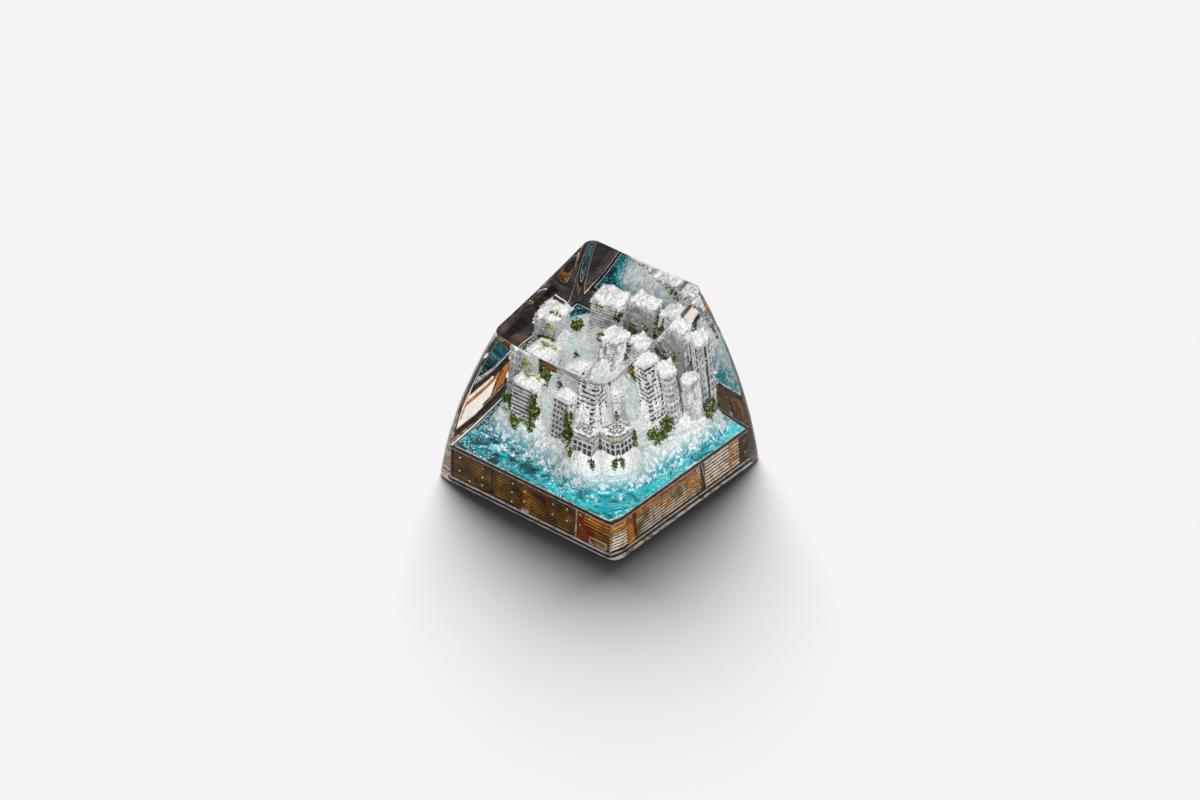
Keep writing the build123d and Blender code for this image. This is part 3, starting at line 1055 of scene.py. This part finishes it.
def round_block(form, radius, z, storeys):
    """Round tower: a dark drum with upright ribs between pale floor rings."""
    spokes, recess, middle, rib = 24, 0.06, 0.02, 0.04
    storey = (z[1] - z[0]) / storeys
    turns = [math.tau * spoke / spokes for spoke in range(spokes)]
    profile = [(middle, z[0], SHADE)]
    for number in range(storeys):
        foot = z[0] + storey * number
        profile += [
            (radius - recess, foot, SHADE), (radius - recess, foot + storey * 0.55, WALL),
            (radius, foot + storey * 0.6, WALL), (radius, foot + storey * 0.97, WALL),
        ]
    profile.append((middle, z[1], WALL))
    rings = []
    for reach, level, _ in profile:
        rings.append([form.place(reach * math.cos(turn), reach * math.sin(turn), level) for turn in turns])
    form.sweep(rings, [mark for _, _, mark in profile])
    for turn in turns[::2]:
        x, y = (radius - rib) * math.cos(turn), (radius - rib) * math.sin(turn)
        form.box((x - rib, x + rib), (y - rib, y + rib), (z[0], z[1] - 0.05), WALL)


# Storeys, window columns across and along, band share, pier width, and the marks of wall and core
FACADES = {
    "slab_block": (11, None, 0.52, 0.1, (WALL, WINDOW)),
    "west_block": (8, (6, 6), 0.5, 0.16, (WALL, SHADE)),
    "grid_tower": (9, (4, 4), 0.42, 0.12, (WALL, WINDOW)),
    "corner_block": (3, (4, 4), 0.35, 0.10, (WALL, WINDOW)),
    "central_tower": (14, None, 0.48, 0.1, (WALL, WINDOW)),
    "east_tower": (7, (5, 5), 0.5, 0.16, (WALL, SHADE)),
    "high_tower": (11, (3, 3), 0.45, 0.2, (WALL, SHADE)),
    "long_block": (14, None, 0.5, 0.1, (WALL, SHADE)),
    "rear_block": (8, (6, 3), 0.5, 0.16, (WALL, SHADE)),
    "grey_block": (8, (5, 4), 0.55, 0.18, (SHADE, SHADE)),
}


def terraces(form, width, depth, z):
    """Stepped floors that draw back towards the rear."""
    steps, lip = 4, 0.03
    rise = (z[1] - z[0]) / steps
    half_u, half_v = width / 2, depth / 2
    for step in range(steps):
        front = depth * 0.16 * step - half_v
        level = z[0] + rise * step
        slab = level + rise * 0.55
        form.box((-half_u, half_u), (front, half_v), (level, slab), SHADE)
        form.box((-half_u - lip, half_u + lip), (front - 0.05, half_v), (slab, level + rise), WALL, 0.02)


def podium(form, width, depth):
    """Lower floors that step down towards the cap's front edge: tall windows, white slabs drawn back."""
    reach, foot, head, rise, columns, slab = 0.32, 5.75, 6.7, 0.24, 4, 0.11
    pane, pier, proud, bed, drawn = 0.06, 0.05, 0.01, 0.08, 0.2
    u, v = (-width / 2, width / 2 + reach), (-depth / 2 - reach, depth / 2)
    z = (foot, head)
    form.box((u[0] + pane, u[1] - pane), (v[0] + pane, v[1] - pane), z, WINDOW)
    for column in range(columns + 1):
        share = column / columns
        across = u[0] + pier + (u[1] - u[0] - 2 * pier) * share
        along = v[0] + pier + (v[1] - v[0] - 2 * pier) * share
        form.box((across - pier, across + pier), (v[0] + proud, v[0] + bed), z, WALL)
        form.box((u[1] - bed, u[1] - proud), (along - pier, along + pier), z, WALL)
    form.box((u[0], u[1] - 0.02), (v[0] + 0.02, v[1]), (foot + 0.48, foot + 0.58), WALL)
    for step in range(3):
        right, front = u[1] - drawn * step, v[0] + drawn * step
        level = head + rise * step
        form.box((u[0], right), (front, v[1]), (level, level + slab), WALL, 0.02)
        form.box((u[0] + 0.04, right - 0.06), (front + 0.06, v[1] - 0.1),
                 (level + slab, level + rise), SHADE)


def city():
    """The buildings, each in the place of its node."""
    terrace_height, round_storeys = 0.85, 10
    made = []
    for name in BUILDINGS:
        form = Form()
        width, depth, foot, roof = form.stand(name)
        half_u, half_v = width / 2, depth / 2
        if name == "round_tower":
            round_block(form, half_u, (foot, roof), round_storeys)
        elif name == "corner_block":
            split = roof - terrace_height
            form.box((-half_u, half_u), (-half_v, half_v), (foot, MOUND_TOP), WALL)
            facade(form, width, depth, (MOUND_TOP, split), *FACADES[name])
            terraces(form, width, depth, (split, roof))
            podium(form, width, depth)
        else:
            facade(form, width, depth, (foot, roof), *FACADES[name])
            parapet(form, width, depth, roof, FACADES[name][-1][0])
        if name == "grid_tower":
            form.box((half_u - 0.05, half_u + 0.01), (-half_v, half_v), (foot, roof - 0.25), WALL)
        if name == "high_tower":
            z = (foot, roof - 0.3)
            for u in (-0.25 * width, 0.25 * width):
                form.box((u - 0.07, u + 0.07), (-half_v - 0.01, 0), z, WINDOW)
            form.box((0, half_u + 0.01), (-0.10, 0.10), z, WINDOW)
        made.append(form.piece(name + "_facade", CITY_MARKS, "facade", (name,)))
    return made


# Snow on the roofs and walls

ROOF_SNOW = {
    "slab_block": 0.6, "west_block": 0.8, "grid_tower": 0.8, "corner_block": 0.16, "central_tower": 0.6,
    "round_tower": 0.8, "east_tower": 0.6, "high_tower": 0.9, "long_block": 0.8, "rear_block": 0.8,
    "grey_block": 0.7,
}
PEAKED = "grid_tower"
DUSTY = "grey_block"

# Walls that drifted snow covers: across and along shares of the wall's middle, and how wide it lies
CRUSTED = (
    ("long_block", 0.0, 0.5, 1.0), ("rear_block", 0.0, 0.5, 1.0), ("high_tower", 0.0, 0.5, 1.0),
    ("slab_block", 0.5, 0.0, 0.9), ("west_block", -0.5, 0.0, 1.0), ("west_block", 0.0, 0.5, 1.0),
    ("long_block", -0.5, 0.0, 1.0), ("grid_tower", 0.5, 0.0, 0.5), ("corner_block", 0.5, 0.0, 0.6),
    ("central_tower", 0.5, 0.0, 0.6), ("central_tower", 0.0, -0.5, 0.6), ("long_block", 0.5, 0.0, 0.9),
    ("east_tower", 0.5, 0.0, 0.9),
)

# Snow heaped against walls: across and along shares of the heap's middle, its share of the width, its top
HEAPS = (
    ("central_tower", 0.0, -0.5, 1.0, 6.4), ("central_tower", -0.5, 0.0, 1.0, 6.4),
    ("grid_tower", 0.5, 0.0, 1.0, 5.4), ("slab_block", 0.5, 0.0, 1.0, 5.8),
    ("corner_block", -0.6, 0.3, 0.8, 5.9), ("long_block", 0.0, -0.5, 1.0, 6.2),
    ("west_block", 0.5, 0.0, 1.0, 5.8), ("east_tower", 0.0, -0.5, 1.0, 5.2),
    ("round_tower", -0.1, -0.5, 1.0, 5.3),
)


def drift(form, width, depth, roof, tall, seed, peaked, mark):
    """Snow heaped on a roof: steep and ragged at its edge, lumpy above; or a peak with four slopes."""
    rings, spokes, over, power, sunk, ragged = 18, 60, 0.12, 7, 0.06, 0.26
    levels = []
    for ring in range(rings + 1):
        share = 1 - ring / rings
        line = []
        for spoke in range(spokes):
            turn = math.tau * spoke / spokes
            cos, sin = math.cos(turn), math.sin(turn)
            square = (abs(cos) ** power + abs(sin) ** power) ** (-1 / power) * share
            x, y, _ = form.place(cos * square * (width / 2 + over), sin * square * (depth / 2 + over), 0)
            if peaked:
                up = tall * (1 - share) + 0.03 * rough(x, y, seed, 0.3, 3)
            else:
                broad, fine = rough(x, y, seed, 0.95, 2), rough(x, y, seed + 5, 0.33, 3)
                up = tall * (1 - share ** 5) ** 0.45 * max(0.25, 0.72 + 0.55 * broad + 0.3 * fine)
                x += ragged * share * rough(x, y, seed + 9, 0.4, 3)
                y += ragged * share * rough(x, y, seed + 14, 0.4, 3)
            line.append((x, y, roof - sunk + up))
        levels.append(line)
    start = len(form.verts)
    form.sweep(levels[:-1], mark, closed=False)
    form.fan(spokes, levels[-1][0], mark)
    form.face(reversed(range(start, start + spokes)), mark)
    return levels


def heap(form, name, across, along, wide, top, chance):
    """Lumps of snow against a wall, further out at the foot than at the top."""
    lumps = 150
    width, depth, _, _ = form.stand(name)
    for _ in range(lumps):
        share = chance.random() ** 1.3
        out = 1 + 0.55 * (1 - share) * chance.random()
        side = chance.uniform(-0.5, 0.5) * wide * (1 - 0.5 * share)
        if abs(along) > abs(across):
            u, v = (across + side) * width, along * depth * out
        else:
            u, v = across * width * out, (along + side) * depth
        level = SNOW_LEVEL + (top - SNOW_LEVEL) * share
        lump(form, form.place(u, v, level), chance.uniform(0.06, 0.22), chance, 0, 1.1)


def roof_snow():
    """Drifts on the roofs with crumbs on them, and snow caught on ledges, walls and at their feet."""
    crumbs, peak_crumbs, ledge_crumbs = 190, 20, 70
    chance = random.Random(5)
    form = Form()
    for name, tall in ROOF_SNOW.items():
        width, depth, _, roof = form.stand(name)
        mark = 1 if name == DUSTY else 0
        levels = drift(form, width, depth, roof, tall, 10 * tall + width, name == PEAKED, mark)
        for _ in range(peak_crumbs if name == PEAKED else crumbs):
            spot = chance.choice(chance.choice(levels[:-3]))
            lump(form, spot, 0.03 + 0.12 * chance.random() ** 2, chance, mark)
        for _ in range(ledge_crumbs):
            front, right, back, left = (chance.uniform(-0.5, 0.5) for _ in range(4))
            u, v = chance.choice((
                (front * width, -depth / 2), (width / 2, right * depth),
                (back * width, depth / 2), (-width / 2, left * depth),
            ))
            level = SNOW_LEVEL + (roof - SNOW_LEVEL) * chance.random() ** 1.8
            lump(form, form.place(u, v, level), chance.uniform(0.03, 0.10), chance, 0, 0.6)
    for name, *shares in HEAPS:
        heap(form, name, *shares, chance)
    return form.piece("roof_snow_drifts", ("roof", "shade"), "snow", ("roof_snow",), smooth=True)


def wall_snow():
    """Fine crumbs of snow blown onto walls, in patches."""
    patch_count, crumbs, scatter = 16, 400, 0.08
    chance = random.Random(6)
    form = Form()
    for name, across, along, wide in CRUSTED:
        width, depth, _, roof = form.stand(name)
        patches = [(chance.uniform(-0.5, 0.5), chance.random()) for _ in range(patch_count)]
        for _ in range(crumbs):
            side, height = chance.choice(patches)
            side += chance.gauss(0, scatter)
            height = min(max(height + chance.gauss(0, scatter), 0.0), 1.0)
            u = across * width if across else side * width * wide
            v = along * depth if along else side * depth * wide
            level = SNOW_LEVEL + (roof + 0.1 - SNOW_LEVEL) * height
            lump(form, form.place(u, v, level), 0.02 + 0.09 * chance.random() ** 2, chance, 0, 0.8)
    return form.piece("wall_snow_crumbs", ["roof"], "snow", smooth=True)


def shore_foam():
    """Crumbs of snow and foam, every second one along the shore and the others over the island."""
    crumbs, line, scatter = 4000, 0.99, 0.06
    chance = random.Random(8)
    form = Form()
    shore = shore_line()
    low, high = [value + RIM_WIDTH for value in BASE_LOW], [value - RIM_WIDTH for value in BASE_HIGH]
    for number in range(crumbs):
        point = chance.choice(shore)
        share = chance.gauss(line, scatter) if number % 2 else math.sqrt(chance.random())
        x, y, inland = from_middle(point, share)
        if low[0] < x < high[0] and low[1] < y < high[1]:
            level = max(sea_height(x, y), snow_height(x, y, inland))
            lump(form, (x, y, level), 0.025 + 0.09 * chance.random() ** 2, chance, 0, 0.7)
    return form.piece("shore_crumbs", ["snow"], "snow", smooth=True)


# Moss

MOSS_MARKS = ("leaf_dark", "leaf", "leaf_pale", "snow")
SNOW_CRUMB = 3
LEAF_FACES = ((0, 1, 4), (1, 2, 4), (2, 3, 4), (3, 0, 4), (1, 0, 5), (2, 1, 5), (3, 2, 5), (0, 3, 5))

# Weights of the marks, by how dark a growth is and how much snow lies on it
LUSH = (8, 5, 1.5, 0.8)
DARK = (9, 3, 0.5, 0.5)
DUSTED = (2, 4, 4, 4)
SPECKED = (1, 3, 6, 5)

# Growth on buildings: shares across and along, lowest and highest level, width, number of leaves, weights
VINES = (
    ("slab_block", (0.44, -0.53, 4.8, 7.4, 0.12, 260, LUSH), (-0.25, -0.55, 4.6, 5.0, 0.35, 160, DUSTED),
     (0.2, -0.56, 4.6, 5.1, 0.30, 130, DUSTED), (0.0, 0.1, 8.3, 8.5, 0.55, 160, SPECKED),
     (-0.52, 0.2, 5.6, 7.8, 0.2, 240, LUSH)),
    ("west_block", (0.30, -0.3, 9.2, 9.5, 0.3, 170, DUSTED), (0.1, -0.56, 4.8, 6.2, 0.45, 300, LUSH),
     (0.2, -0.54, 7.4, 8.2, 0.3, 90, DUSTED)),
    ("grid_tower", (0.46, -0.53, 5.2, 7.6, 0.10, 200, LUSH), (0.54, -0.2, 6.0, 8.0, 0.14, 130, LUSH),
     (-0.6, 0.45, 7.8, 8.7, 0.2, 150, LUSH)),
    ("corner_block", (-0.55, -0.75, 5.2, 5.8, 0.13, 150, LUSH), (0.75, -0.75, 5.0, 5.6, 0.13, 150, LUSH),
     (0.72, 0.45, 5.8, 7.0, 0.2, 220, LUSH), (0.2, -0.1, 7.35, 7.5, 0.40, 90, DUSTED),
     (0.2, -0.62, 6.85, 6.95, 0.4, 60, SPECKED), (0.62, -0.2, 6.85, 6.95, 0.2, 50, SPECKED)),
    ("central_tower", (-0.5, -0.45, 9.4, 10.4, 0.16, 120, LUSH), (0.52, 0.3, 6.0, 9.0, 0.12, 80, LUSH)),
    ("high_tower", (-0.54, -0.35, 6.4, 10.2, 0.16, 420, DARK), (-0.3, -0.54, 6.0, 9.6, 0.10, 200, DARK),
     (0.55, -0.5, 4.8, 5.5, 0.2, 160, LUSH)),
    ("grey_block", (0.53, -0.3, 7.6, 10.2, 0.2, 260, DARK), (0.1, -0.55, 9.0, 10.0, 0.35, 220, DARK)),
    ("east_tower", (-0.54, -0.4, 5.0, 7.4, 0.12, 170, LUSH)),
    ("long_block", (0.52, -0.45, 8.4, 10.4, 0.2, 220, DARK), (-0.2, -0.54, 9.4, 10.2, 0.4, 130, DUSTED)),
    ("round_tower", (-0.4, -0.45, 7.8, 9.2, 0.15, 110, LUSH)),
    ("long_block", (-0.54, 0.0, 5.5, 8.0, 0.2, 120, DUSTED)),
    ("rear_block", (0.0, 0.6, 5.0, 8.5, 0.4, 160, DUSTED)),
    ("west_block", (-0.58, 0.2, 5.0, 8.0, 0.3, 180, DUSTED)),
    ("high_tower", (0.3, 0.62, 5.0, 8.0, 0.3, 140, DUSTED)),
)


def leaf(form, middle, radius, chance, mark):
    """A tiny leaf: a flat, bent lozenge with a back."""
    turn, tip = chance.uniform(0, math.tau), chance.uniform(-0.9, 0.9)
    along = Vector((math.cos(turn) * math.cos(tip), math.sin(turn) * math.cos(tip), math.sin(tip)))
    side = along.cross(Vector((0, 0, 1))).normalized()
    up = side.cross(along)
    here = Vector(middle)
    verts = (
        here - along * radius, here + side * radius * 0.6, here + along * radius,
        here - side * radius * 0.6, here + up * radius * 0.45, here - up * radius * 0.2,
    )
    form.add([tuple(vert) for vert in verts], LEAF_FACES, mark)


def leaf_or_crumb(form, spot, chance, weights, big):
    """One leaf, or a crumb of snow, in a colour drawn by weights."""
    mark = chance.choices(range(len(MOSS_MARKS)), weights)[0]
    if mark == SNOW_CRUMB:
        lump(form, spot, chance.uniform(0.03, 0.08), chance, mark)
    else:
        leaf(form, spot, chance.uniform(0.6, 1.2) * big, chance, mark)


def tuft(form, middle, radius, tall, chance, count):
    """Leaves heaped round a middle in a few bunches, thinner towards the top."""
    bunch_count, scatter, drawn = 7, radius * 0.28, 0.5
    bunches = []
    for _ in range(bunch_count):
        turn, reach = chance.uniform(0, math.tau), math.sqrt(chance.random()) * radius
        bunches.append((turn, reach, chance.random()))
    for _ in range(count):
        turn, reach, up = chance.choice(bunches)
        spot = (
            middle[0] + reach * math.cos(turn) * (1 - drawn * up) + chance.gauss(0, scatter),
            middle[1] + reach * math.sin(turn) * (1 - drawn * up) + chance.gauss(0, scatter),
            middle[2] + max(0.0, up * tall + chance.gauss(0, 0.16)),
        )
        leaf_or_crumb(form, spot, chance, LUSH, 0.15)


def vine(form, u, v, z, width, chance, count, weights):
    """Leaves in bunches hanging down a wall between two levels."""
    bunches = [(chance.gauss(u, width * 0.7), chance.uniform(*z)) for _ in range(max(3, count // 18))]
    for _ in range(count):
        across, level = chance.choice(bunches)
        spot = form.place(
            across + chance.gauss(0, 0.09), v + chance.gauss(0, 0.06), level + chance.gauss(0, 0.12),
        )
        leaf_or_crumb(form, spot, chance, weights, 0.14)


def moss_places():
    """Middle, radius and height of each tuft, read from the solids of the moss node."""
    mesh = NODES["moss"].data
    links = {}

    def root(index):
        while links.setdefault(index, index) != index:
            index = links[index]
        return index

    keys = {}
    for vert in mesh.vertices:
        keys.setdefault(tuple(round(value, 8) for value in vert.co), []).append(vert.index)
    for same in keys.values():
        for index in same[1:]:
            links[root(index)] = root(same[0])
    for edge in mesh.edges:
        links[root(edge.vertices[0])] = root(edge.vertices[1])
    groups = {}
    for vert in mesh.vertices:
        groups.setdefault(root(vert.index), []).append(vert.co / MM)
    places = []
    for points in groups.values():
        low = [min(point[axis] for point in points) for axis in range(3)]
        high = [max(point[axis] for point in points) for axis in range(3)]
        middle = ((low[0] + high[0]) / 2, (low[1] + high[1]) / 2, low[2])
        places.append((middle, max(high[0] - low[0], high[1] - low[1]) / 2, high[2] - low[2]))
    return sorted(places)


def moss():
    """Tufts where the solids stand, vines on walls and moss on roofs."""
    wider, taller, density, least_tall = 1.4, 1.5, 1200, 0.6
    chance = random.Random(3)
    form = Form()
    for middle, radius, tall in moss_places():
        count = int(density * radius * max(tall, least_tall))
        tuft(form, middle, wider * radius, taller * tall, chance, count)
    for name, *vines in VINES:
        wide, deep, _, _ = form.stand(name)
        for across, along, low, high, width, count, weights in vines:
            vine(form, across * wide, along * deep, (low, high), width, chance, count, weights)
    return form.piece("moss_leaves", MOSS_MARKS, "moss", ("moss",))


# Floor, light and camera

def floor_material():
    """Plain pale ground."""
    material, tree, shader, _ = new_material("pale_floor", 0.9, 0.0)
    fill(tree, shader, {"Base Color": (0.93, 0.93, 0.93, 1.0)})
    return material


def sky():
    """Even sky, which the camera and the resin see as pale as the floor, and reflections see dimmer."""
    white = (1.0, 1.0, 1.0, 1.0)
    world = bpy.data.worlds.new("sky")
    bpy.context.scene.world = world
    world.use_nodes = True
    tree = world.node_tree
    light = fill(tree, tree.nodes["Background"], {"Color": white, "Strength": SKY})
    seen = add_node(tree, "ShaderNodeBackground", {"Color": white, "Strength": PALE})
    path = tree.nodes.new("ShaderNodeLightPath").outputs
    gloss = combine(tree, "MULTIPLY", path["Is Glossy Ray"], GLOSS_SHARE)
    shown = combine(tree, "MAXIMUM", path["Is Camera Ray"], path["Is Transmission Ray"])
    mix_shaders(tree, combine(tree, "MAXIMUM", shown, gloss), light, seen, "World Output")


def lamp(name, direction, share, angle, receivers, blockers=()):
    """A distant soft lamp that lights a group of pieces, and is held off by all pieces or by a group."""
    data = bpy.data.lights.new(name, "SUN")
    data.energy = share * math.pi
    data.angle = math.radians(angle)
    made = bpy.data.objects.new(name, data)
    bpy.context.scene.collection.objects.link(made)
    made.rotation_euler = Vector(direction).to_track_quat("Z", "Y").to_euler()
    lit = bpy.data.collections.new(name + "_lit")
    for piece in receivers:
        lit.objects.link(piece)
    made.light_linking.receiver_collection = lit
    if blockers:
        held = bpy.data.collections.new(name + "_held")
        for piece in blockers:
            held.objects.link(piece)
        made.light_linking.blocker_collection = held


def stage(cast_in, tray):
    """Pale floor under an even sky; a soft lamp from behind on the left, more light for what is cast in."""
    half, drop = 3.0, 0.00002
    mesh = bpy.data.meshes.new("floor")
    corners = ((-half, -half, -drop), (half, -half, -drop), (half, half, -drop), (-half, half, -drop))
    mesh.from_pydata(corners, [], [(0, 1, 2, 3)])
    mesh.materials.append(floor_material())
    ground = bpy.data.objects.new("floor", mesh)
    bpy.context.scene.collection.objects.link(ground)
    sky()
    rise = Vector(KEY_DIRECTION).normalized().z
    lamp("key", KEY_DIRECTION, KEY_SHARE / rise, KEY_ANGLE, [ground])
    # Name, direction, share, angle in degrees, what the lamp lights and what holds it off
    lamp("inner_key", KEY_DIRECTION, 0.34, 40, cast_in, cast_in)
    lamp("inner_left", (-1.0, 0.1, 0.35), 0.6, 60, [tray], cast_in)
    lamp("inner_sky", (0.1, -0.2, 1.0), 0.45, 120, cast_in, [NODES["stem_post"]])
    lamp("inner_fill", (0.80, -0.62, 0.52), 0.82, 50, cast_in, cast_in)


def photo_camera():
    """Camera of the photograph."""
    data = bpy.data.cameras.new("photo_camera")
    data.sensor_width = SENSOR_WIDTH
    data.lens = FOCAL_PIXELS / PHOTO_WIDTH * SENSOR_WIDTH
    data.clip_start = 0.01
    camera = bpy.data.objects.new("photo_camera", data)
    bpy.context.scene.collection.objects.link(camera)
    (flat, up), (back, right) = cos_sin(CAMERA_ELEVATION), cos_sin(CAMERA_AZIMUTH)
    away = Vector((right * flat, -back * flat, up))
    camera.location = (Vector(CAMERA_TARGET) + away * CAMERA_DISTANCE) * MM
    camera.rotation_euler = away.to_track_quat("Z", "Y").to_euler()
    bpy.context.scene.camera = camera


def light_paths():
    """Enough bounces for light to cross the resin several times."""
    cycles = bpy.context.scene.cycles
    cycles.max_bounces = 24
    cycles.transmission_bounces = 24
    cycles.glossy_bounces = 12
    cycles.diffuse_bounces = 5
    cycles.caustics_refractive = False
    cycles.caustics_reflective = False


bpy.context.scene.view_settings.view_transform = "Standard"
NODES["stem_post"].data.materials.clear()
NODES["stem_post"].data.materials.append(LOOKS["stem"])
clear_cap()
base = rusty_tray()
inner = [NODES["stem_post"], base, foot_ring_painted_light(), island(), sea(), shore_foam()]
inner += [*city(), roof_snow(), wall_snow(), moss()]
stage(inner, base)
photo_camera()
light_paths()
